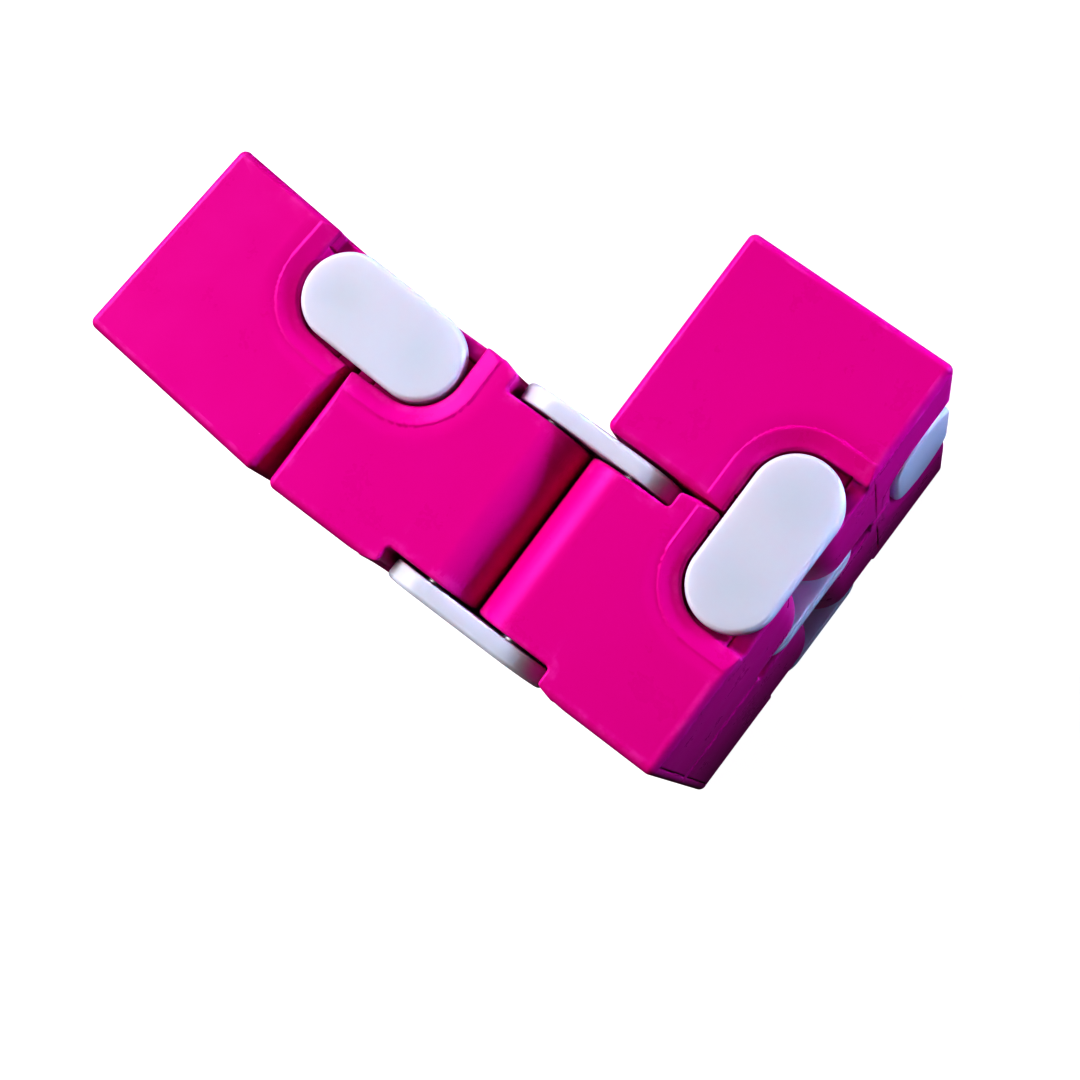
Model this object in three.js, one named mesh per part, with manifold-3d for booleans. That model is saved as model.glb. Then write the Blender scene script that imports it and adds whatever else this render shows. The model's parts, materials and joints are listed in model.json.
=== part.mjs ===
// A folding cube toy: eight hollow cubes in a closed loop, joined by eight double-pivot hinges.
// Four cubes stand on four. The left column is swung slightly open and the right one is folded back.
// Millimetres, +Z up, standing on Z = 0 with the middle of its plan at X = Y = 0.
import * as THREE from "three";
import { mergeVertices } from "three/addons/utils/BufferGeometryUtils.js";
import Module from "manifold-3d";

// Driving dimensions.
const PITCH = 20; // from one cube to the next, face gap included
const FACE_GAP = 0.3; // between the facing sides of two cubes
const PIN_INSET = 4; // from a cell's side to the pin that turns in its edge
const EDGE_BREAK = 0.6; // chamfer on every edge that holds no hinge
const WALL = 1.6; // of the shell and of the cover
const SEAM = 0.2; // between the shell and its cover
const LEFT_SWING = 2.4; // degrees, at each of the left hinge's two pivots
const RIGHT_SWING = 90; // degrees, at each of the right hinge's two pivots

// Pockets: the stepped recess round each end of a pin, which lets the link plate swing a quarter turn.
const POCKET_DEPTH = 2;
const POCKET_RADIUS = 4.2;
const LIP_RADIUS = 5.9; // where the sloping lip of the pocket meets the face
const LIP_DEPTH = 0.45;
const POCKET_FLOOR = 1.5; // material left behind the pocket

// The cover closes one side of a cube and wraps its upright hinge edge onto the next side.
const COVER_START = 1.2; // from the cell's side to the cover's free edge on its long leg
const COVER_END = 10.9; // from the cell's side to its free edge on the short leg
const END_LIP = 0.65; // of the shell, over the cover's top and bottom edges

// Link plates and pins.
const PLATE_THICKNESS = 1.7;
const PLATE_RADIUS = 3.9;
const PLATE_EDGE = 0.25; // chamfer round the plate
const PIN_RADIUS = 1.25;
const PIN_PLAY = 0.1; // radial, in the cubes and in the plates
const PIN_SEAT = 1; // depth of the blind holes in a plate
const PIN_END_GAP = 0.15; // between a pin's end and the bottom of its hole
const PIN_CHAMFER = 0.25;

// Facets of the curved surfaces.
const ARC_STEPS = 4; // half the number of segments in a quarter circle of a cube
const PLATE_STEPS = 6; // half the number of segments in one end of a link plate
const PIN_SEGMENTS = 12;

// Derived dimensions of one cell, whose own frame runs from 0 to PITCH on each axis.
const LOW = FACE_GAP / 2;
const HIGH = PITCH - LOW;
const FAR = PITCH - PIN_INSET; // a pin's axis, counted from the far side
const HINGE_ROUND = PIN_INSET - LOW; // an edge that holds a pin is round about it
const BEYOND = PITCH + 5; // safely outside the cell
const BORE_RADIUS = PIN_RADIUS + PIN_PLAY;
const POST = BORE_RADIUS + 2.2; // half width of the post that holds a pin

const COLOURS = { magenta: 0xe6008a, white: 0xd8dff0, steel: 0xb9bcc2 };
const shellPlastic = new THREE.MeshStandardMaterial({ color: COLOURS.magenta, roughness: 0.28 });
const linkPlastic = new THREE.MeshStandardMaterial({ color: COLOURS.white, roughness: 0.22 });
const pinSteel = new THREE.MeshStandardMaterial({
  color: COLOURS.steel,
  roughness: 0.35,
  metalness: 1,
});

const wasm = await Module();
wasm.setup();

// A closed geometry as a manifold-3d solid.
function solid(geometry) {
  const bare = geometry.clone();
  bare.deleteAttribute("normal");
  bare.deleteAttribute("uv");
  const merged = mergeVertices(bare, 1e-4);
  return new wasm.Manifold(
    new wasm.Mesh({
      numProp: 3,
      vertProperties: merged.attributes.position.array,
      triVerts: new Uint32Array(merged.index.array),
    }),
  );
}

// A manifold-3d solid as a three.js geometry.
function geometryOf(manifold) {
  const mesh = manifold.getMesh();
  const geometry = new THREE.BufferGeometry();
  geometry.setAttribute("position", new THREE.BufferAttribute(mesh.vertProperties, 3));
  geometry.setIndex(new THREE.BufferAttribute(mesh.triVerts, 1));
  geometry.computeVertexNormals();
  return geometry;
}

// A geometry moved by a matrix. A matrix that mirrors it also turns each face round again.
function placed(geometry, matrix) {
  const moved = geometry.index ? geometry.toNonIndexed() : geometry.clone();
  moved.applyMatrix4(matrix);
  if (matrix.determinant() < 0) {
    const corners = moved.attributes.position;
    const a = new THREE.Vector3();
    const b = new THREE.Vector3();
    for (let i = 0; i < corners.count; i += 3) {
      a.fromBufferAttribute(corners, i + 1);
      b.fromBufferAttribute(corners, i + 2);
      corners.setXYZ(i + 1, b.x, b.y, b.z);
      corners.setXYZ(i + 2, a.x, a.y, a.z);
    }
  }
  return moved;
}

// The direction that a text such as "+x" or "-z" names.
function direction(text) {
  const v = new THREE.Vector3();
  v[text[1]] = text[0] === "-" ? -1 : 1;
  return v;
}

// A frame given by its origin and the directions of its three axes.
function axes(origin, x, y, z) {
  return new THREE.Matrix4()
    .makeBasis(direction(x), direction(y), direction(z))
    .setPosition(...origin);
}

// An outline extruded from one height to another in a frame.
function prism(shape, from, to, frame = new THREE.Matrix4()) {
  const geometry = new THREE.ExtrudeGeometry(shape, {
    depth: to - from,
    bevelEnabled: false,
    curveSegments: ARC_STEPS,
  });
  return solid(placed(geometry.translate(0, 0, from), frame));
}

function box(low, high) {
  const size = high.map((v, i) => v - low[i]);
  const middle = high.map((v, i) => (v + low[i]) / 2);
  return solid(new THREE.BoxGeometry(...size).translate(...middle));
}

// A cylinder along Z about a point of the plan.
function rod(x, y, radius, from, to, frame) {
  const geometry = new THREE.CylinderGeometry(radius, radius, to - from, PIN_SEGMENTS);
  geometry.rotateX(Math.PI / 2).translate(x, y, (from + to) / 2);
  return solid(frame ? placed(geometry, frame) : geometry);
}

// A square outline with three chamfered corners and one round one, at its +X +Y corner.
function hingedOutline() {
  const c = EDGE_BREAK;
  const shape = new THREE.Shape();
  shape.moveTo(LOW + c, LOW);
  shape.lineTo(HIGH - c, LOW);
  shape.lineTo(HIGH, LOW + c);
  shape.absarc(FAR, FAR, HINGE_ROUND, 0, Math.PI / 2, false);
  shape.lineTo(LOW + c, HIGH);
  shape.lineTo(LOW, HIGH - c);
  shape.lineTo(LOW, LOW + c);
  return shape;
}

// A square outline with four chamfered corners.
function plainOutline() {
  const c = EDGE_BREAK;
  const corners = [
    [LOW + c, LOW],
    [HIGH - c, LOW],
    [HIGH, LOW + c],
    [HIGH, HIGH - c],
    [HIGH - c, HIGH],
    [LOW + c, HIGH],
    [LOW, HIGH - c],
    [LOW, LOW + c],
  ];
  return new THREE.Shape(corners.map(([x, y]) => new THREE.Vector2(x, y)));
}

// Frames whose Z axis runs along a cell's X or Y axis.
const ALONG_X = axes([0, 0, 0], "+y", "+z", "+x");
const CROSS_HINGE = axes([PITCH, 0, 0], "-x", "+z", "+y");

// The outside of one cube: an upright hinge edge at +X +Y, and a cross hinge edge at -X +Z along Y.
function cubeBlock() {
  return prism(hingedOutline(), LOW, HIGH)
    .intersect(prism(hingedOutline(), LOW, HIGH, CROSS_HINGE))
    .intersect(prism(plainOutline(), LOW, HIGH, ALONG_X));
}

// The plan of a pocket: a corner square whose inner corner is round about the pin, at the origin.
function pocketOutline(radius) {
  const reach = 2 * PIN_INSET;
  const shape = new THREE.Shape();
  shape.moveTo(reach, -radius);
  shape.lineTo(reach, reach);
  shape.lineTo(-radius, reach);
  shape.lineTo(-radius, 0);
  shape.absarc(0, 0, radius, Math.PI, 1.5 * Math.PI, false);
  return shape;
}

// What a pocket takes away: its straight well, and its lip sloping out to the face at Z = 0.
function pocketCut(frame) {
  const well = prism(pocketOutline(POCKET_RADIUS), -POCKET_DEPTH, LIP_DEPTH, frame);
  const lip = new THREE.ExtrudeGeometry(pocketOutline(POCKET_RADIUS), {
    depth: LIP_DEPTH,
    bevelThickness: LIP_DEPTH,
    bevelSize: LIP_RADIUS - POCKET_RADIUS,
    bevelSegments: 1,
    curveSegments: ARC_STEPS,
  });
  return well.add(solid(placed(lip, frame)));
}

// The four pockets of a cube: X and Y point from the pin to the cube's corner, Z out of the face.
const POCKETS = [
  axes([FAR, FAR, HIGH], "+x", "+y", "+z"),
  axes([FAR, FAR, LOW], "+x", "+y", "-z"),
  axes([PIN_INSET, HIGH, FAR], "-x", "+z", "+y"),
  axes([PIN_INSET, LOW, FAR], "-x", "+z", "-y"),
];

function cutPockets(piece) {
  return POCKETS.reduce((rest, frame) => rest.subtract(pocketCut(frame)), piece);
}

// The plan of the cover, or of the room for it when spare is the gap round it.
function coverOutline(spare) {
  const inner = HIGH - WALL - spare;
  const shape = new THREE.Shape();
  shape.moveTo(inner, COVER_START - spare);
  shape.lineTo(BEYOND, COVER_START - spare);
  shape.lineTo(BEYOND, BEYOND);
  shape.lineTo(COVER_END - spare, BEYOND);
  shape.lineTo(COVER_END - spare, inner);
  shape.absarc(FAR, FAR, inner - FAR, Math.PI / 2, 0, true);
  return shape;
}

function coverPrism(spare) {
  const end = LOW + END_LIP + SEAM - spare;
  return prism(coverOutline(spare), end, PITCH - end);
}

// The hollow of a shell, around its two pin posts and the floors behind its pockets.
function shellHollow() {
  const inner = LOW + WALL;
  const floor = LOW + POCKET_DEPTH + POCKET_FLOOR;
  const near = PIN_INSET + LIP_RADIUS + 0.4; // just past a pocket's lip
  const keep = [
    box([FAR - POST, FAR - POST, 0], [PITCH, PITCH, PITCH]),
    box([0, 0, FAR - POST], [PIN_INSET + POST, PITCH, PITCH]),
    box([PITCH - near, PITCH - near, 0], [PITCH, PITCH, floor]),
    box([PITCH - near, PITCH - near, PITCH - floor], [PITCH, PITCH, PITCH]),
    box([0, 0, PITCH - near], [near, floor, PITCH]),
    box([0, PITCH - floor, PITCH - near], [near, PITCH, PITCH]),
  ];
  const room = box([inner, inner, inner], [PITCH - inner, PITCH - inner, PITCH - inner]);
  return keep.reduce((rest, part) => rest.subtract(part), room);
}

// The seat of the upright pin is open towards the cover. The cross pin runs in a plain bore.
function pinRoom() {
  const seat = box([FAR, FAR - BORE_RADIUS, 0], [BEYOND, FAR + BORE_RADIUS, PITCH]);
  return rod(FAR, FAR, BORE_RADIUS, 0, PITCH)
    .add(seat)
    .add(rod(FAR, FAR, BORE_RADIUS, 0, PITCH, CROSS_HINGE));
}

function shellGeometry(block) {
  const open = block.subtract(coverPrism(SEAM)).subtract(shellHollow());
  return geometryOf(cutPockets(open).subtract(pinRoom()));
}

function coverGeometry(block) {
  return geometryOf(cutPockets(block.intersect(coverPrism(0))));
}

// A link plate: pins at X = -PIN_INSET and +PIN_INSET, outer face at Z = 0, blind holes below.
function plateGeometry() {
  const shape = new THREE.Shape();
  shape.absarc(PIN_INSET, 0, PLATE_RADIUS, -Math.PI / 2, Math.PI / 2, false);
  shape.absarc(-PIN_INSET, 0, PLATE_RADIUS, Math.PI / 2, 1.5 * Math.PI, false);
  const slab = new THREE.ExtrudeGeometry(shape, {
    depth: PLATE_THICKNESS - 2 * PLATE_EDGE,
    bevelThickness: PLATE_EDGE,
    bevelSize: PLATE_EDGE,
    bevelOffset: -PLATE_EDGE,
    bevelSegments: 1,
    curveSegments: PLATE_STEPS,
  });
  slab.translate(0, 0, PLATE_EDGE - PLATE_THICKNESS);
  const top = PIN_SEAT - PLATE_THICKNESS;
  const holes = [-PIN_INSET, PIN_INSET].map((x) => rod(x, 0, BORE_RADIUS, -PITCH, top));
  return geometryOf(holes.reduce((rest, hole) => rest.subtract(hole), solid(slab)));
}

// A pin lies along Z about the middle of its cell's height.
function pinGeometry() {
  const plateBack = PITCH / 2 - LOW - PLATE_THICKNESS;
  const half = plateBack + PIN_SEAT - PIN_END_GAP;
  const profile = [
    [0, -half],
    [PIN_RADIUS - PIN_CHAMFER, -half],
    [PIN_RADIUS, PIN_CHAMFER - half],
    [PIN_RADIUS, half - PIN_CHAMFER],
    [PIN_RADIUS - PIN_CHAMFER, half],
    [0, half],
  ].map(([x, y]) => new THREE.Vector2(x, y));
  return new THREE.LatheGeometry(profile, PIN_SEGMENTS).rotateX(Math.PI / 2);
}

const block = cubeBlock();
const SHELL = shellGeometry(block);
const COVER = coverGeometry(block);
const PLATE = plateGeometry();
const PIN = pinGeometry();

function piece(group, name, geometry, material, matrix) {
  const mesh = new THREE.Mesh(placed(geometry, matrix), material);
  mesh.name = name;
  group.add(mesh);
}

// A group that turns about an upright axis. Inside it, places are those of the unfolded row.
function turned(parent, x, y, degrees) {
  const pivot = new THREE.Group();
  pivot.position.set(x, y, 0);
  pivot.rotation.z = THREE.MathUtils.degToRad(degrees);
  parent.add(pivot);
  const inside = new THREE.Group();
  inside.position.set(-x, -y, 0);
  pivot.add(inside);
  return inside;
}

const toy = new THREE.Group();
const leftPin = PITCH - PIN_INSET;
const rightPin = 3 * PITCH + PIN_INSET;
const middle = turned(toy, 0, 0, 0);
const leftLink = turned(toy, PITCH + PIN_INSET, FAR, -LEFT_SWING);
const leftColumn = turned(leftLink, leftPin, FAR, -LEFT_SWING);
const rightLink = turned(toy, 3 * PITCH - PIN_INSET, FAR, RIGHT_SWING);
const rightColumn = turned(rightLink, rightPin, FAR, RIGHT_SWING);

// The cubes in the order of the loop, each in its place in the unfolded row: the corner that its own
// frame starts from, counted in cells, and where its X, Y and Z axes point.
const CUBES = [
  [leftColumn, [0, 0, 2], "+y", "+x", "-z"],
  [middle, [2, 0, 1], "-x", "+y", "+z"],
  [middle, [2, 0, 1], "+x", "+y", "+z"],
  [rightColumn, [4, 0, 2], "+y", "-x", "-z"],
  [rightColumn, [4, 0, 0], "+y", "-x", "+z"],
  [middle, [2, 0, 1], "+x", "+y", "-z"],
  [middle, [2, 0, 1], "-x", "+y", "-z"],
  [leftColumn, [0, 0, 0], "+y", "+x", "+z"],
];

CUBES.forEach(([group, corner, x, y, z], i) => {
  const frame = axes(corner.map((c) => c * PITCH), x, y, z);
  piece(group, `cube_${i + 1}_shell`, SHELL, shellPlastic, frame);
  piece(group, `cube_${i + 1}_cover`, COVER, shellPlastic, frame);
});

// The hinges in the order of the loop: hinge 1 joins cubes 1 and 2. Each has the cell corner that its
// axis passes, the direction from its first cube to its second, the side of the corner that its pins
// lie on, and the direction of its axis.
const HINGES = [
  [leftLink, [1, 1, 1], "+x", "-y", "+z"],
  [middle, [2, 0, 2], "+x", "-z", "+y"],
  [rightLink, [3, 1, 1], "+x", "-y", "+z"],
  [rightColumn, [3, 0, 1], "-z", "+y", "+x"],
  [rightLink, [3, 1, 0], "-x", "-y", "+z"],
  [middle, [2, 0, 0], "-x", "+z", "+y"],
  [leftLink, [1, 1, 0], "-x", "-y", "+z"],
  [leftColumn, [0, 0, 1], "+z", "+y", "+x"],
];

HINGES.forEach(([group, corner, across, inward, along], i) => {
  const first = i + 1;
  const second = (first % HINGES.length) + 1;
  const start = new THREE.Vector3(...corner).multiplyScalar(PITCH);
  start.addScaledVector(direction(inward), PIN_INSET);
  const at = (distance, offset) => {
    const place = start.clone().addScaledVector(direction(along), distance);
    return place.addScaledVector(direction(across), offset).toArray();
  };
  const back = along.replace("+", "-");
  const add = (name, geometry, material, place, outward) =>
    piece(group, name, geometry, material, axes(place, across, inward, outward));
  add(`link_plate_${first}_${second}_near`, PLATE, linkPlastic, at(LOW, 0), back);
  add(`link_plate_${first}_${second}_far`, PLATE, linkPlastic, at(HIGH, 0), along);
  add(`hinge_pin_${first}_${second}_a`, PIN, pinSteel, at(PITCH / 2, -PIN_INSET), along);
  add(`hinge_pin_${first}_${second}_b`, PIN, pinSteel, at(PITCH / 2, PIN_INSET), along);
});

// The toy stands on Z = 0, with the middle of its plan over the origin.
toy.updateMatrixWorld(true);
const bounds = new THREE.Box3().setFromObject(toy, true);
const centre = bounds.getCenter(new THREE.Vector3());
toy.position.set(-centre.x, -centre.y, -bounds.min.z);

export default toy;
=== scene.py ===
"""The looks of a folding cube toy: glossy magenta cubes, white link plates and steel pins.

Every piece is meshed from a distance field: a function that gives, for points in millimetres, how far
they are outside (above zero) or inside (below zero) the piece. Its edges, lips and corners are round
because the fields are joined with a radius.
"""

import json
import math

import bpy
import numpy as np
from mathutils import Matrix, Vector

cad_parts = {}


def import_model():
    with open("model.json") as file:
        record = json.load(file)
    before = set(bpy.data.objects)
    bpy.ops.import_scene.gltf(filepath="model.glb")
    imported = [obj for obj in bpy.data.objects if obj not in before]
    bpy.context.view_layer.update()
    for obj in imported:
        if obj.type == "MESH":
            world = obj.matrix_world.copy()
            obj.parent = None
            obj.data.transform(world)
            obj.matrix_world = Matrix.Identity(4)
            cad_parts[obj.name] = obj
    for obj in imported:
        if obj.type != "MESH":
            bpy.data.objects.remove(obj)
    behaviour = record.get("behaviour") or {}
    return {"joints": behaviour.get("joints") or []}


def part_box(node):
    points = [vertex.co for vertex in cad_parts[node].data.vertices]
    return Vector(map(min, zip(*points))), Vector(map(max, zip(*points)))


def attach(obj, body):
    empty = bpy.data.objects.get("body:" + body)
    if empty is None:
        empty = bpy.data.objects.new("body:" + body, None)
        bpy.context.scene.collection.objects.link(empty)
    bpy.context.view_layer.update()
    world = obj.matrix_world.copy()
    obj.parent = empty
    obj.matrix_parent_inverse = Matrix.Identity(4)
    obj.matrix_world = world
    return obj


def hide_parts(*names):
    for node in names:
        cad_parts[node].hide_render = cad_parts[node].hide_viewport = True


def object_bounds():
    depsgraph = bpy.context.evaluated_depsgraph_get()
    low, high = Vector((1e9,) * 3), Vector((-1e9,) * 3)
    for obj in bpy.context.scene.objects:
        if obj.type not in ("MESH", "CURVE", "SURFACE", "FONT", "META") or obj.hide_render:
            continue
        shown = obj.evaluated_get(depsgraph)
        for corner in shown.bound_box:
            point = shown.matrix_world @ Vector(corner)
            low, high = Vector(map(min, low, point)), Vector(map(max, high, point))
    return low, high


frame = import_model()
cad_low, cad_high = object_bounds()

MM = 0.001


# ---- Dimensions from the frame, in millimetres ----


def extent(node):
    low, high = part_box(node)
    return np.array(low) / MM, np.array(high) / MM


def joint_range(name):
    return next(j for j in frame["joints"] if j["name"] == name)["range_deg"]


cube_low, cube_high = extent("cube_2_shell")
next_low, _ = extent("cube_3_shell")
pin_low, pin_high = extent("hinge_pin_2_3_a")
twin_low, _ = extent("hinge_pin_2_3_b")
plate_low, plate_high = extent("link_plate_2_3_far")

PITCH = round(next_low[0] - cube_low[0], 3)
FACE_GAP = round(next_low[0] - cube_high[0], 3)
PIN_INSET = round((twin_low[0] - pin_low[0]) / 2, 3)
PIN_RADIUS = round((pin_high[0] - pin_low[0]) / 2, 3)
PIN_HALF = round((pin_high[1] - pin_low[1]) / 2, 3)
PLATE_THICKNESS = round(plate_high[1] - plate_low[1], 3)
PLATE_RADIUS = round((plate_high[2] - plate_low[2]) / 2, 3)
LEFT_SWING = -joint_range("left_link_turn")[0]
RIGHT_SWING = joint_range("right_link_turn")[1]

LOW = FACE_GAP / 2
HIGH = PITCH - LOW
FAR = PITCH - PIN_INSET
HINGE_ROUND = PIN_INSET - LOW

# The corner that the unfolded row starts from. Cube 2 is one cell along the row and one cell up.
ROW_ORIGIN = Vector(cube_low - LOW) - Vector((PITCH, 0, PITCH))

# Dimensions that the frame's boxes don't give, as in the CAD part.
WALL = 1.6
PIN_PLAY = 0.1
POST_WALL = 2.2
BORE = PIN_RADIUS + PIN_PLAY
POST = BORE + POST_WALL
POCKET_DEPTH = 2.0
POCKET_RADIUS = 4.2
LIP_RADIUS = 5.9
LIP_DEPTH = 0.45
POCKET_FLOOR = 1.5
COVER_START = 1.2
COVER_END = 10.9
END_LIP = 0.65
PIN_SEAT = 1.0

# Small radii and gaps that only the looks have, in millimetres.
EDGE_ROUND = 0.7
LIP_ROUND = 0.06
WELL_ROUND = 0.3
WELL_FLOOR_ROUND = 0.35
LIP_STEP = 0.1  # how far the face dips down to the foot of a lip
LIP_RUNOUT = 0.9  # and how far out that dip starts
FOOT_RUN, FOOT_RISE = 0.45, 0.9  # how steeply the step at the foot of a lip climbs
SEAM = 0.1
SEAM_ROUND = 0.12
SEAM_SHUT = 1.5  # how near a well the seam has closed up
SEAM_FADE = 0.6  # and over what distance it closes
SEAM_LEAST = 0.04  # and what share of it is left
ROOM_SPARE = 0.4
ROOM_ROUND = 0.3
RIM = 0.25
RIM_ROUND = 0.09
PLATE_BACK_ROUND = 0.2
PIN_ROUND = 0.25
HOLE_ROUND = 0.12


# ---- Distance fields ----


def both(a, b, radius=0.0):
    """Where two fields are both inside, with a round edge."""
    return np.minimum(-radius, np.maximum(a, b)) + np.hypot(
        np.maximum(radius + a, 0), np.maximum(radius + b, 0)
    )


def less(a, b, radius=0.0):
    return both(a, -b, radius)


def slab(v, low, high):
    return np.abs(v - (low + high) / 2) - (high - low) / 2


def cuboid(x, y, z, low, high):
    flat = [slab(v, a, b) for v, a, b in zip((x, y, z), low, high)]
    return np.maximum(np.maximum(flat[0], flat[1]), flat[2])


def square_plan(x, y):
    """A square with three small round corners and a large one at +X +Y, round the upright pin."""
    middle = PITCH / 2
    radius = np.where((x > middle) & (y > middle), HINGE_ROUND, EDGE_ROUND)
    u = np.abs(x - middle) - (middle - LOW) + radius
    v = np.abs(y - middle) - (middle - LOW) + radius
    return np.minimum(np.maximum(u, v), 0) + np.hypot(np.maximum(u, 0), np.maximum(v, 0)) - radius


def block(x, y, z):
    body = both(square_plan(x, y), slab(z, LOW, HIGH), EDGE_ROUND)
    drum = both(np.hypot(x - PIN_INSET, z - FAR) - HINGE_ROUND, slab(y, LOW, HIGH), EDGE_ROUND)
    return np.where((x < PIN_INSET) & (z > FAR), drum, body)


def pocket(s, t, height):
    """The well and the lip of the stepped recess round a pin's end.

    S and T run from the pin to the cube's corner, and height is measured outwards from the face."""
    out = np.hypot(np.maximum(-s, 0), np.maximum(-t, 0))
    well = both(out - POCKET_RADIUS, -POCKET_DEPTH - height, WELL_FLOOR_ROUND)
    run = LIP_RADIUS - POCKET_RADIUS
    slope = ((out - LIP_RADIUS) * LIP_DEPTH - height * run) / math.hypot(run, LIP_DEPTH)
    dip = LIP_STEP * (1 - (out - LIP_RADIUS) / LIP_RUNOUT)
    foot = np.maximum(-dip - height, (LIP_RADIUS - out) * FOOT_RUN - height * FOOT_RISE)
    return well, np.minimum(np.maximum(slope, -LIP_DEPTH - height), foot)


def pockets(x, y, z):
    s, t = PIN_INSET - x, z - FAR
    four = [
        pocket(x - FAR, y - FAR, z - HIGH),
        pocket(x - FAR, y - FAR, LOW - z),
        pocket(s, t, y - HIGH),
        pocket(s, t, LOW - y),
    ]
    return [np.minimum.reduce(fields) for fields in zip(*four)]


def cover_room(x, y, z, spare):
    """The L-shaped side of the cube that its cover fills, grown by spare."""
    inner = HIGH - WALL - spare
    kept = both(x - inner, y - inner, inner - FAR)
    side = np.maximum(-kept, np.maximum(COVER_START - spare - y, COVER_END - spare - x))
    end = LOW + END_LIP + SEAM - spare
    return np.maximum(side, np.maximum(end - z, z - PITCH + end))


def hollow(x, y, z):
    """The inside of a cube, round its pin posts and the floors behind its pockets."""
    wall = LOW + WALL
    floor = LOW + POCKET_DEPTH + POCKET_FLOOR
    near = PIN_INSET + LIP_RADIUS + ROOM_SPARE
    room = cuboid(x, y, z, [wall] * 3, [PITCH - wall] * 3)
    kept = [
        ([FAR - POST, FAR - POST, 0], [PITCH, PITCH, PITCH]),
        ([0, 0, FAR - POST], [PIN_INSET + POST, PITCH, PITCH]),
        ([PITCH - near, PITCH - near, 0], [PITCH, PITCH, floor]),
        ([PITCH - near, PITCH - near, PITCH - floor], [PITCH, PITCH, PITCH]),
        ([0, 0, PITCH - near], [near, floor, PITCH]),
        ([0, PITCH - floor, PITCH - near], [near, PITCH, PITCH]),
    ]
    for low, high in kept:
        room = less(room, cuboid(x, y, z, low, high), ROOM_ROUND)
    return room


def pin_room(x, y, z):
    upright = np.hypot(x - FAR, y - FAR) - BORE
    seat = np.maximum(slab(y, FAR - BORE, FAR + BORE), FAR - x)
    cross = np.hypot(x - PIN_INSET, z - FAR) - BORE
    return np.minimum(np.minimum(upright, seat), cross)


def parting(well):
    """The width and the edge radius of the seam round a cover, which closes up in the pockets."""
    open_share = np.clip((well - SEAM_SHUT) / SEAM_FADE, SEAM_LEAST, 1)
    return SEAM * open_share, SEAM_ROUND * open_share


def recessed(body, well, lip):
    return less(less(body, lip, LIP_ROUND), well, WELL_ROUND)


def cube_core(x, y, z):
    """A whole cube without its seam and its inside, to find its edges, which the material lightens as wear
    and as a painted highlight, and its hollows, which it darkens as dust and as painted shade.
    """
    return recessed(block(x, y, z), *pockets(x, y, z))


def shell_field(x, y, z):
    well, lip = pockets(x, y, z)
    seam, edge = parting(well)
    walls = less(block(x, y, z), cover_room(x, y, z, seam), edge)
    return less(recessed(np.maximum(walls, -hollow(x, y, z)), well, lip), pin_room(x, y, z), HOLE_ROUND)


def cover_field(x, y, z):
    well, lip = pockets(x, y, z)
    return recessed(both(block(x, y, z), cover_room(x, y, z, 0), parting(well)[1]), well, lip)


def plate_core(x, y, z):
    """A link plate without its holes, its outer face at Z = 0 and its pins PIN_INSET from X = 0."""
    out = np.hypot(np.maximum(np.abs(x) - PIN_INSET, 0), y) - PLATE_RADIUS
    rim = (out + z + RIM) / math.sqrt(2)
    return both(both(both(out, rim, RIM_ROUND), z, RIM_ROUND), -PLATE_THICKNESS - z, PLATE_BACK_ROUND)


def plate_field(x, y, z):
    holes = np.maximum(np.hypot(np.abs(x) - PIN_INSET, y) - BORE, z - PIN_SEAT + PLATE_THICKNESS)
    return less(plate_core(x, y, z), holes, HOLE_ROUND)


def pin_field(x, y, z):
    return both(np.hypot(x, y) - PIN_RADIUS, np.abs(z) - PIN_HALF, PIN_ROUND)


# ---- Meshes from fields ----


def slope_of(field, points, step=1e-3):
    """The unit direction in which a field grows at each point."""
    rise = [field(*(points + step * e).T) - field(*(points - step * e).T) for e in np.eye(3)]
    rise = np.stack(rise, 1)
    return rise / np.maximum(np.linalg.norm(rise, axis=1), 1e-9)[:, None]


def onto(field, points, steps=2):
    """Points near a surface, moved onto it."""
    for _ in range(steps):
        away = np.clip(field(*points.T), -0.1, 0.1)
        points = points - away[:, None] * slope_of(field, points)
    return points


def ticks(low, high, coarse, fine, bands):
    """Grid lines from low to high, close together inside the bands."""
    lines = [low]
    while lines[-1] < high:
        close = any(a - fine <= lines[-1] < b for a, b in bands)
        lines.append(lines[-1] + (fine if close else coarse))
    return np.array(lines)


def surface_net(field, grid):
    """The surface where a field is zero: one point in each crossed cell, and four-cornered faces."""
    value = field(*np.meshgrid(*grid, indexing="ij"))
    inside = value < 0
    cells = np.array(value.shape) - 1
    strides = np.array([cells[1] * cells[2], cells[2], 1])
    total = np.zeros((cells.prod(), 3))
    count = np.zeros(cells.prod(), int)
    faces = []
    for axis in range(3):
        near, far = [slice(None)] * 3, [slice(None)] * 3
        near[axis], far[axis] = slice(0, -1), slice(1, None)
        start = np.argwhere(inside[tuple(near)] != inside[tuple(far)])
        across = [(axis + 1) % 3, (axis + 2) % 3]
        start = start[((start[:, across] > 0) & (start[:, across] < cells[across])).all(1)]
        end = start.copy()
        end[:, axis] += 1
        a, b = value[tuple(start.T)], value[tuple(end.T)]
        crossing = np.stack([grid[k][start[:, k]] for k in range(3)], 1)
        crossing[:, axis] += a / (a - b) * (grid[axis][end[:, axis]] - crossing[:, axis])
        ring = []
        for back in ((1, 1), (0, 1), (0, 0), (1, 0)):
            cell = start.copy()
            cell[:, across] -= back
            ring.append(cell @ strides)
            np.add.at(total, ring[-1], crossing)
            np.add.at(count, ring[-1], 1)
        ring = np.stack(ring, 1)
        leaving = ~inside[tuple(start.T)]
        ring[leaving] = ring[leaving][:, ::-1]
        faces.append(ring)
    used = np.flatnonzero(count)
    number = np.full(len(count), -1)
    number[used] = np.arange(len(used))
    return total[used] / count[used, None], number[np.concatenate(faces)]


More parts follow.
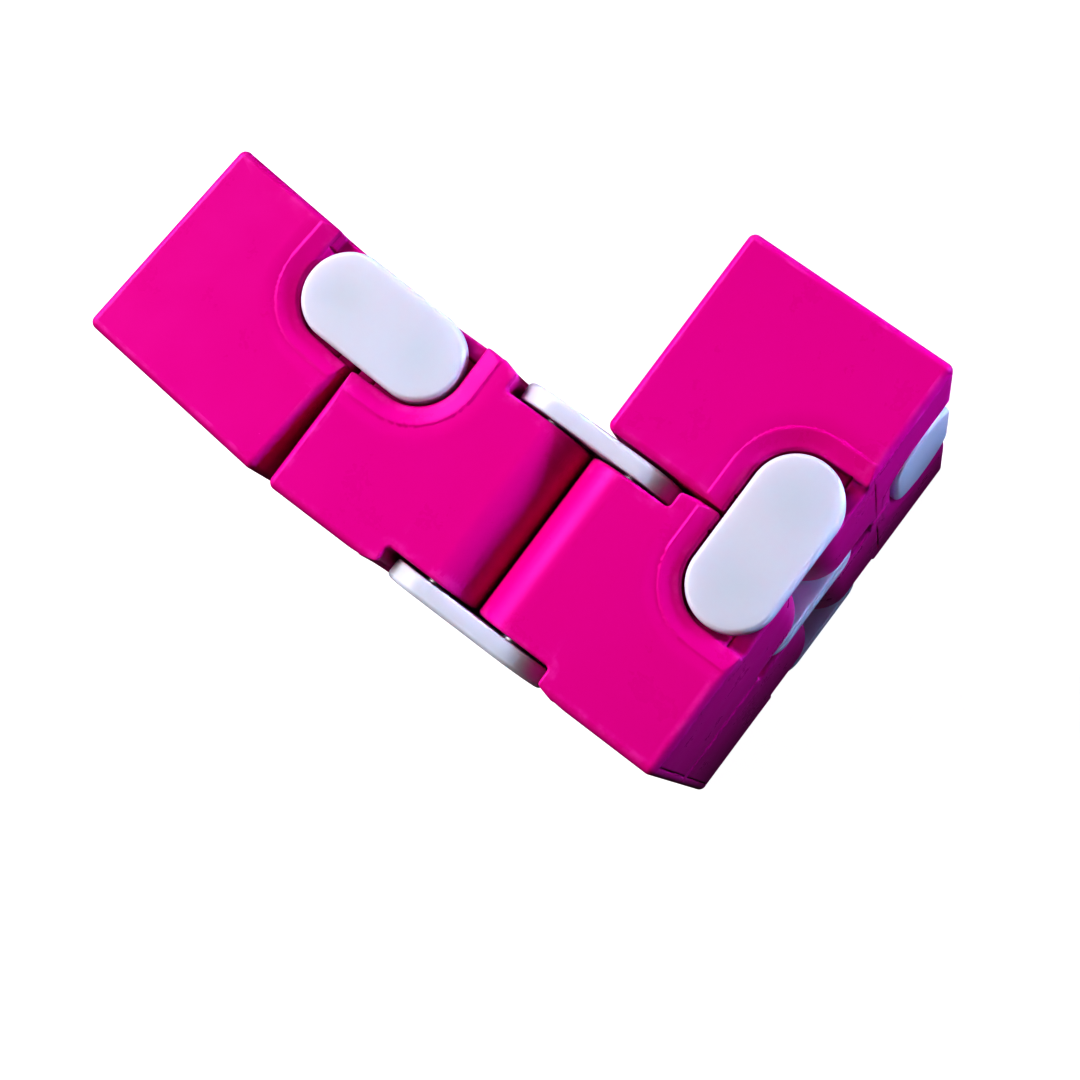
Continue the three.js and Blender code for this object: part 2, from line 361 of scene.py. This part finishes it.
def read(collection, attribute, width, kind=float):
    values = np.zeros(len(collection) * width, kind)
    collection.foreach_get(attribute, values)
    return values.reshape(-1, width)


def thinned(points, faces, share):
    """The same surface with only a share of its faces, kept where it curves most, as triangles."""
    mesh = bpy.data.meshes.new("net")
    mesh.from_pydata(points.tolist(), [], faces.tolist())
    holder = bpy.data.objects.new("net", mesh)
    bpy.context.scene.collection.objects.link(holder)
    fewer = holder.modifiers.new("fewer", "DECIMATE")
    fewer.ratio = share
    fewer.use_collapse_triangulate = True
    depsgraph = bpy.context.evaluated_depsgraph_get()
    done = bpy.data.meshes.new_from_object(holder.evaluated_get(depsgraph), depsgraph=depsgraph)
    points = read(done.vertices, "co", 3)
    done.calc_loop_triangles()
    faces = read(done.loop_triangles, "vertices", 3, np.int32)
    bpy.data.objects.remove(holder)
    bpy.data.meshes.remove(mesh)
    bpy.data.meshes.remove(done)
    return points, faces


def evened(field, points, faces, rounds=15):
    """Points on flat ground moved to the middle of their neighbours, so that few thin faces lie folded."""
    pairs = np.concatenate([faces[:, [0, 1]], faces[:, [1, 2]], faces[:, [2, 0]]])
    pairs = np.concatenate([pairs, pairs[:, ::-1]])
    slopes = slope_of(field, points)
    likeness = np.ones(len(points))
    np.minimum.at(likeness, pairs[:, 0], (slopes[pairs[:, 0]] * slopes[pairs[:, 1]]).sum(1))
    flat = (likeness > 0.99999)[:, None]
    start, end = pairs.T
    size = len(points)
    count = np.maximum(np.bincount(start, minlength=size), 1)[:, None]
    for _ in range(rounds):
        total = np.stack([np.bincount(start, column, size) for column in points[end].T], 1)
        points = np.where(flat, total / count, points)
    return points


class Template:
    """The mesh of one kind of piece in its own frame, with what its material needs to know.

    Core is the field that tells how near an edge or a corner a point is, read depth millimetres away."""

    def __init__(self, field, grid, share, core, depth):
        points, faces = surface_net(field, grid)
        points, self.faces = thinned(onto(field, points), faces, share)
        self.points = evened(field, onto(field, points), self.faces)
        corners = self.points[self.faces]
        inward = (corners + 0.2 * (corners.mean(1, keepdims=True) - corners)).reshape(-1, 3)
        normals = slope_of(field, inward)
        self.normals = normals.reshape(-1, 3, 3)
        self.edge = np.clip(1 + core(*(inward - depth * normals).T) / depth, 0, 1).reshape(-1, 3)
        above = inward + depth / 2 * normals
        self.crevice = np.clip(1 - core(*above.T) / depth * 2, 0, 1).reshape(-1, 3)


def band(middle, reach=0.3):
    return middle - reach, middle + reach


def templates():
    """The four kinds of piece. A cube's grid is fine near its faces, its seams and its inner walls."""
    inner = HIGH - WALL
    skin = 1.1
    faces = [(0, LOW + skin), (HIGH - skin, PITCH)]
    span = (-0.1, PITCH + 0.1, 0.22, 0.08)
    cell = [
        ticks(*span, faces + [band(COVER_END), band(inner, 0.2)]),
        ticks(*span, faces + [band(COVER_START), band(inner, 0.2)]),
        ticks(*span, faces),
    ]
    spare = 0.4
    half_width = PLATE_RADIUS + spare
    half_length = PIN_INSET + PLATE_RADIUS + spare
    plate = [
        ticks(-half_length, half_length, 0.16, 0.16, []),
        ticks(-half_width, half_width, 0.16, 0.16, []),
        ticks(-PLATE_THICKNESS - 0.17, 0.2, 0.16, 0.06, [(-0.8, 0.2), band(-PLATE_THICKNESS)]),
    ]
    wide = ticks(-PIN_RADIUS - 0.25, PIN_RADIUS + 0.25, 0.12, 0.12, [])
    tips = [band(-PIN_HALF, 0.4), band(PIN_HALF, 0.4)]
    pin = [wide, wide, ticks(-PIN_HALF - 0.3, PIN_HALF + 0.3, 0.5, 0.08, tips)]
    return {
        "shell": Template(shell_field, cell, 0.2, cube_core, 1.2),
        "cover": Template(cover_field, cell, 0.3, cube_core, 1.2),
        "plate": Template(plate_field, plate, 0.35, plate_core, 0.6),
        "pin": Template(pin_field, pin, 0.4, pin_field, 0.6),
    }


# ---- Places ----


def turn(x, y, degrees):
    """A turn about an upright axis of the unfolded row."""
    pivot = Matrix.Translation((x, y, 0))
    return pivot @ Matrix.Rotation(math.radians(degrees), 4, "Z") @ pivot.inverted()


def rest_places():
    """Where each body's part of the unfolded row stands at rest."""
    row = Matrix.Translation(ROW_ORIGIN)
    left_link = row @ turn(PITCH + PIN_INSET, FAR, -LEFT_SWING)
    right_link = row @ turn(3 * PITCH - PIN_INSET, FAR, RIGHT_SWING)
    return {
        "middle_block": row,
        "left_link": left_link,
        "left_column": left_link @ turn(PITCH - PIN_INSET, FAR, -LEFT_SWING),
        "right_link": right_link,
        "right_column": right_link @ turn(3 * PITCH + PIN_INSET, FAR, RIGHT_SWING),
    }


# The cubes in the order of the loop: body, corner of the row that the cube's own frame starts from,
# counted in cells, and where its X, Y and Z axes point.
CUBES = [
    ("left_column", (0, 0, 2), "+y", "+x", "-z"),
    ("middle_block", (2, 0, 1), "-x", "+y", "+z"),
    ("middle_block", (2, 0, 1), "+x", "+y", "+z"),
    ("right_column", (4, 0, 2), "+y", "-x", "-z"),
    ("right_column", (4, 0, 0), "+y", "-x", "+z"),
    ("middle_block", (2, 0, 1), "+x", "+y", "-z"),
    ("middle_block", (2, 0, 1), "-x", "+y", "-z"),
    ("left_column", (0, 0, 0), "+y", "+x", "+z"),
]

# The hinges in the order of the loop: body, the corner that the hinge's axis passes, the direction
# from its first cube to its second, the side that its pins lie on, and the direction of its axis.
HINGES = [
    ("left_link", (1, 1, 1), "+x", "-y", "+z"),
    ("middle_block", (2, 0, 2), "+x", "-z", "+y"),
    ("right_link", (3, 1, 1), "+x", "-y", "+z"),
    ("right_column", (3, 0, 1), "-z", "+y", "+x"),
    ("right_link", (3, 1, 0), "-x", "-y", "+z"),
    ("middle_block", (2, 0, 0), "-x", "+z", "+y"),
    ("left_link", (1, 1, 0), "-x", "-y", "+z"),
    ("left_column", (0, 0, 1), "+z", "+y", "+x"),
]


def direction(text):
    sign = -1 if text[0] == "-" else 1
    return Vector([sign * (letter == text[1]) for letter in "xyz"])


def axes(origin, x, y, z):
    turned = Matrix([direction(x), direction(y), direction(z)]).transposed().to_4x4()
    return Matrix.Translation(origin) @ turned


def add_piece(name, body, template, matrix, material, node):
    """A copy of a template in its place, in metres, riding on its body for its CAD node."""
    place = np.array(matrix)
    mirrored = np.linalg.det(place[:3, :3]) < 0
    points = (template.points @ place[:3, :3].T + place[:3, 3]) * MM
    corners = [template.faces, template.normals @ place[:3, :3].T, template.edge, template.crevice]
    faces, normals, edge, crevice = [values[:, ::-1] for values in corners] if mirrored else corners
    mesh = bpy.data.meshes.new(name)
    mesh.from_pydata(points.tolist(), [], faces.tolist())
    mesh.shade_smooth()
    mesh.normals_split_custom_set(normals.reshape(-1, 3).tolist())
    shifted = template.points + len(bpy.data.meshes) * PITCH * np.array([1.7, 2.9, 4.3])
    local = mesh.attributes.new("local", "FLOAT_VECTOR", "POINT")
    local.data.foreach_set("vector", shifted.astype(np.float32).ravel())
    for key, values in (("edge", edge), ("crevice", crevice)):
        attribute = mesh.attributes.new(key, "FLOAT", "CORNER")
        attribute.data.foreach_set("value", values.astype(np.float32).ravel())
    mesh.materials.append(material)
    piece = bpy.data.objects.new(name, mesh)
    bpy.context.scene.collection.objects.link(piece)
    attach(piece, body)
    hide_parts(node)
    return piece


# ---- Materials ----


class Nodes:
    """A material's node tree, built by short calls."""

    def __init__(self, name):
        self.material = bpy.data.materials.new(name)
        self.material.use_nodes = True
        self.tree = self.material.node_tree
        self.shader = self.tree.nodes["Principled BSDF"]

    def add(self, kind, settings=None, **inputs):
        node = self.tree.nodes.new("ShaderNode" + kind)
        for key, value in (settings or {}).items():
            setattr(node, key, value)
        for key, value in inputs.items():
            self.put(node, key.replace("_", " "), value)
        return node

    def put(self, node, key, value):
        socket = node.inputs[int(key)] if key.isdigit() else node.inputs[key]
        if isinstance(value, bpy.types.NodeSocket):
            self.tree.links.new(value, socket)
        else:
            socket.default_value = value

    def attribute(self, name):
        return self.add("Attribute", {"attribute_name": name})

    def math(self, operation, a, b=0.0, clamp=False):
        node = self.add("Math", {"operation": operation, "use_clamp": clamp})
        self.put(node, "0", a)
        self.put(node, "1", b)
        return node.outputs[0]

    def ramp(self, value, low, high, to_low=0.0, to_high=1.0):
        """A value carried smoothly from one range to another, and held at its ends."""
        node = self.add("MapRange", {"interpolation_type": "SMOOTHSTEP"})
        for key, number in (
            ("Value", value),
            ("From Min", low),
            ("From Max", high),
            ("To Min", to_low),
            ("To Max", to_high),
        ):
            self.put(node, key, number)
        return node.outputs["Result"]

    def noise(self, vector, scale, detail=2.0, roughness=0.5):
        node = self.add("TexNoise", Vector=vector, Scale=scale, Detail=detail, Roughness=roughness)
        return node.outputs["Fac"]

    def stretched(self, vector, turn_by, scale):
        """Coordinates turned and then scaled, so that a noise read there becomes streaks."""
        turned = self.add("Mapping", Vector=vector, Rotation=[math.radians(a) for a in turn_by])
        return self.add("Mapping", Vector=turned.outputs[0], Scale=scale).outputs[0]

    def mix(self, factor, a, b):
        node = self.add("Mix", {"data_type": "RGBA"})
        self.put(node, "0", factor)
        self.put(node, "6", a)
        self.put(node, "7", b)
        return node.outputs[2]

    def scratches(self, vector):
        """Sparse hair-fine lines in three directions, 1 on a line and 0 off it."""
        found = None
        for turn_by in ((35, 20, 0), (60, 40, 20), (25, 65, 110)):
            streak = self.noise(self.stretched(vector, turn_by, (0.14, 0.14, 8.0)), 1.0, 1.0)
            line = self.ramp(streak, 0.76, 0.8)
            found = line if found is None else self.math("MAXIMUM", found, line)
        return found

    def bump(self, height, distance, before=None, strength=1.0):
        node = self.add("Bump", Height=height, Distance=distance, Strength=strength)
        if before is not None:
            self.put(node, "Normal", before)
        return node.outputs[0]


def plastic(name, colour, deep, worn, dust_and_shade_colour, roughness, peel):
    """Moulded gloss plastic: uneven pigment, edges lightened as wear and as a painted highlight, hollows
    darkened as dust and as painted shade, fine scratches, orange peel.
    """
    n = Nodes(name)
    at = n.attribute("local").outputs["Vector"]
    cloud = n.noise(at, 0.09, 2.0)
    grain = n.noise(at, 2.6, 3.0)
    tone = n.mix(cloud, colour, deep)
    patchy = n.ramp(n.noise(at, 0.5, 4.0, 0.65), 0.42, 0.68)
    # Edges are lightened towards the worn colour, in patches: wear, and a painted highlight along rounded
    # edges.
    worn_edge_and_highlight = n.math("MULTIPLY", n.ramp(n.attribute("edge").outputs["Fac"], 0.05, 0.35), patchy)
    tone = n.mix(n.math("MULTIPLY", worn_edge_and_highlight, 0.45), tone, worn)
    # Hollows and corners are darkened, broken up by grain: dust, and painted shade.
    corner = n.ramp(n.attribute("crevice").outputs["Fac"], 0.1, 0.8)
    dust_and_shade = n.math("MULTIPLY", corner, n.ramp(grain, 0.35, 0.7, 0.35, 1.0))
    tone = n.mix(n.math("MULTIPLY", dust_and_shade, 0.45), tone, dust_and_shade_colour)
    speck = n.add("TexVoronoi", Vector=at, Scale=0.42).outputs
    sparse = n.math("GREATER_THAN", n.add("SeparateColor", Color=speck["Color"]).outputs[0], 0.72)
    dots = n.math("MULTIPLY", n.math("LESS_THAN", speck["Distance"], 0.028), sparse)
    tone = n.mix(n.math("MULTIPLY", dots, 0.45), tone, worn)
    lines = n.scratches(at)
    tone = n.mix(n.math("MULTIPLY", lines, 0.05), tone, worn)
    n.put(n.shader, "Base Color", tone)
    sheen = n.ramp(n.noise(at, 0.22, 2.0), 0.3, 0.75, roughness - 0.03, roughness + 0.05)
    sheen = n.math("ADD", sheen, n.math("MULTIPLY", grain, 0.04))
    for mask, amount in ((worn_edge_and_highlight, 0.08), (dust_and_shade, 0.25)):
        sheen = n.math("ADD", sheen, n.math("MULTIPLY", mask, amount))
    n.put(n.shader, "Roughness", sheen)
    surface = n.bump(n.noise(at, 0.9, 2.0), peel * MM)
    surface = n.bump(grain, 0.0005 * MM, surface)
    surface = n.bump(lines, -0.0001 * MM, surface)
    n.put(n.shader, "Normal", surface)
    n.shader.inputs["IOR"].default_value = 1.5
    return n


def magenta_plastic(name, shade):
    colour = [shade * c for c in (0.73, 0.0, 0.255)] + [1.0]
    deep = [shade * c for c in (0.71, 0.0, 0.27)] + [1.0]
    # Next to the base tones: a lighter colour for worn edges, which also paints a highlight on them, and a
    # near-black one that darkens hollows, as dust and as painted shade.
    worn, dust_and_shade_colour = (0.86, 0.06, 0.42, 1), (0.14, 0.0, 0.05, 1)
    n = plastic(name, colour, deep, worn, dust_and_shade_colour, roughness=0.28, peel=0.0015)
    n.shader.inputs["Specular IOR Level"].default_value = 0.3
    n.shader.inputs["Specular Tint"].default_value = (0.9, 0.1, 1.0, 1)
    return n.material


def white_plastic(name):
    colour, warm = (0.62, 0.69, 0.78, 1), (0.71, 0.70, 0.70, 1)
    # A lighter colour for worn edges, which also paints a highlight on them, and a darker one that darkens
    # hollows, as dust and as painted shade.
    worn, dust_and_shade_colour = (0.76, 0.78, 0.86, 1), (0.36, 0.28, 0.33, 1)
    n = plastic(name, colour, warm, worn, dust_and_shade_colour, roughness=0.3, peel=0.0015)
    n.shader.inputs["Specular IOR Level"].default_value = 0.35
    n.shader.inputs["Subsurface Weight"].default_value = 0.9
    n.shader.inputs["Subsurface Radius"].default_value = (1.0, 0.7, 0.7)
    n.shader.inputs["Subsurface Scale"].default_value = 2.5 * MM
    return n.material


def drawn_steel(name):
    """Bright drawn wire, with fine lines along it and a duller sheared end."""
    n = Nodes(name)
    at = n.attribute("local").outputs["Vector"]
    streaks = n.noise(n.stretched(at, (0, 0, 0), (7.0, 7.0, 0.25)), 1.0, 3.0)
    blotch = n.ramp(n.noise(at, 0.4, 3.0), 0.35, 0.7)
    bright, dull, dark = (0.46, 0.46, 0.48, 1), (0.36, 0.35, 0.36, 1), (0.24, 0.23, 0.24, 1)
    tone = n.mix(blotch, bright, dull)
    n.put(n.shader, "Base Color", n.mix(n.math("MULTIPLY", streaks, 0.4), tone, dark))
    rough = n.math("ADD", n.math("MULTIPLY", streaks, 0.18), 0.32)
    worn = n.ramp(n.attribute("edge").outputs["Fac"], 0.15, 0.6, 0.0, 0.15)
    n.put(n.shader, "Roughness", n.math("ADD", rough, worn))
    n.put(n.shader, "Normal", n.bump(streaks, 0.004 * MM))
    n.shader.inputs["Metallic"].default_value = 1.0
    return n.material


# ---- Building the toy ----

shapes = templates()
places = rest_places()
finishes = {
    "shell": magenta_plastic("magenta_shell_plastic", 1.0),
    "cover": magenta_plastic("magenta_cover_plastic", 0.985),
    "plate": white_plastic("white_link_plastic"),
    "pin": drawn_steel("drawn_steel"),
}

for index, (body, corner, x, y, z) in enumerate(CUBES, 1):
    spot = places[body] @ axes(Vector(corner) * PITCH, x, y, z)
    for kind in ("shell", "cover"):
        name = f"cube_{index}_{kind}"
        add_piece("visual_" + name, body, shapes[kind], spot, finishes[kind], name)

for index, (body, corner, across, inward, along) in enumerate(HINGES, 1):
    hinge = f"{index}_{index % len(HINGES) + 1}"
    start = Vector(corner) * PITCH + direction(inward) * PIN_INSET
    back = along.replace("+", "-")
    for end, outward, distance in (("near", back, LOW), ("far", along, HIGH)):
        spot = places[body] @ axes(start + direction(along) * distance, across, inward, outward)
        name = f"link_plate_{hinge}_{end}"
        add_piece("visual_" + name, body, shapes["plate"], spot, finishes["plate"], name)
    for end, offset in (("a", -PIN_INSET), ("b", PIN_INSET)):
        centre = start + direction(along) * (PITCH / 2) + direction(across) * offset
        spot = places[body] @ axes(centre, across, inward, along)
        name = f"hinge_pin_{hinge}_{end}"
        add_piece("visual_" + name, body, shapes["pin"], spot, finishes["pin"], name)


# ---- Floor, light and camera ----


def floor():
    """A wide pale sheet just under the toy. It glows, so that shadows on it stay light.

    Diffuse and glossy rays don't see it, so it throws no light back on the toy."""
    bpy.ops.mesh.primitive_plane_add(size=6, location=(0, 0, -0.02 * MM))
    sheet = bpy.context.object
    sheet.name = "floor"
    n = Nodes("pale_floor")
    at = n.add("TexCoord").outputs["Object"]
    pale, paler = (0.34, 0.34, 0.34, 1), (0.36, 0.36, 0.36, 1)
    n.put(n.shader, "Base Color", n.mix(n.noise(at, 30.0, 3.0), pale, paler))
    n.shader.inputs["Roughness"].default_value = 0.9
    n.shader.inputs["Emission Color"].default_value = (1, 1, 1, 1)
    n.shader.inputs["Emission Strength"].default_value = 0.68
    sheet.data.materials.append(n.material)
    sheet.visible_diffuse = False
    sheet.visible_glossy = False


def lamp(name, aim, azimuth, elevation, distance, size, level, colour, spread=180):
    """A square soft lamp. Level is the brightness of a white sheet that faces it at its aim.

    Azimuth is measured from +X towards +Y, in degrees, and spread is the angle of its beam."""
    a, e, half = math.radians(azimuth), math.radians(elevation), math.radians(spread / 2)
    away = Vector((math.cos(a) * math.cos(e), math.sin(a) * math.cos(e), math.sin(e)))
    light = bpy.data.lights.new(name, "AREA")
    light.shape = "SQUARE"
    light.size = size
    light.spread = 2 * half
    light.energy = level * (math.pi * distance) ** 2 * (1 - half / math.tan(half))
    light.color = colour
    holder = bpy.data.objects.new(name, light)
    holder.location = aim + away * distance
    holder.rotation_mode = "QUATERNION"
    holder.rotation_quaternion = away.to_track_quat("Z", "Y")
    holder.visible_camera = False
    bpy.context.scene.collection.objects.link(holder)


def world(strength):
    """A dim room, pale to the camera so that views from the side have no dark band above the floor."""
    made = bpy.data.worlds.new("room")
    made.use_nodes = True
    tree = made.node_tree
    background = tree.nodes["Background"]
    background.inputs["Color"].default_value = (0.95, 0.93, 1.0, 1)
    seen = tree.nodes.new("ShaderNodeMapRange")
    seen.inputs["To Min"].default_value = strength
    seen.inputs["To Max"].default_value = 1.0
    tree.links.new(tree.nodes.new("ShaderNodeLightPath").outputs["Is Camera Ray"], seen.inputs["Value"])
    tree.links.new(seen.outputs["Result"], background.inputs["Strength"])
    bpy.context.scene.world = made


def camera(eye, aim, roll, lens, shift):
    """A camera that stands at eye and looks at aim, its right side turned by roll from +X."""
    made = bpy.data.cameras.new("camera")
    made.sensor_width = 36
    made.lens = lens
    made.shift_x, made.shift_y = shift
    made.clip_start, made.clip_end = 0.01, 20
    back = (Vector(eye) - Vector(aim)).normalized()
    level = Vector((1, 0, 0)) - back * back.x
    right = Matrix.Rotation(math.radians(roll), 3, back) @ level.normalized()
    turned = Matrix([right, back.cross(right), back]).transposed().to_4x4()
    holder = bpy.data.objects.new("camera", made)
    holder.matrix_world = Matrix.Translation(eye) @ turned
    bpy.context.scene.collection.objects.link(holder)
    bpy.context.scene.camera = holder


floor()
world(0.02)

rosy, violet = (1.0, 0.95, 0.95), (0.35, 0.3, 1.0)
middle = Vector((0, 0, cad_high.z / 2))
far_corner = Vector(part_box("cube_4_shell")[1])
lamp("fill", middle, -148, 42, distance=0.8, size=0.5, level=0.43, colour=(1.0, 0.95, 0.93))
lamp("key", middle, 168, 40, distance=0.7, size=0.3, level=0.7, colour=rosy)
lamp("rim", middle, 178, 16, distance=0.7, size=0.45, level=0.4, colour=violet)
lamp("back", middle, 80, 22, distance=0.6, size=0.3, level=0.06, colour=(0.5, 0.55, 1.0))
lamp("side", far_corner, 50, 6, 0.25, size=0.05, level=4.6, colour=(0.5, 0.6, 1.0), spread=14)

# The viewing angle of the photograph. Both places are in metres.
EYE = (0.04807, -0.01304, 0.1876)
AIM = (0.01541, -0.00769, 0.0397)
camera(EYE, AIM, roll=36.36, lens=64.07, shift=(-0.0486, -0.0014))

view = bpy.context.scene.view_settings
view.view_transform = "Standard"
view.look = "High Contrast"
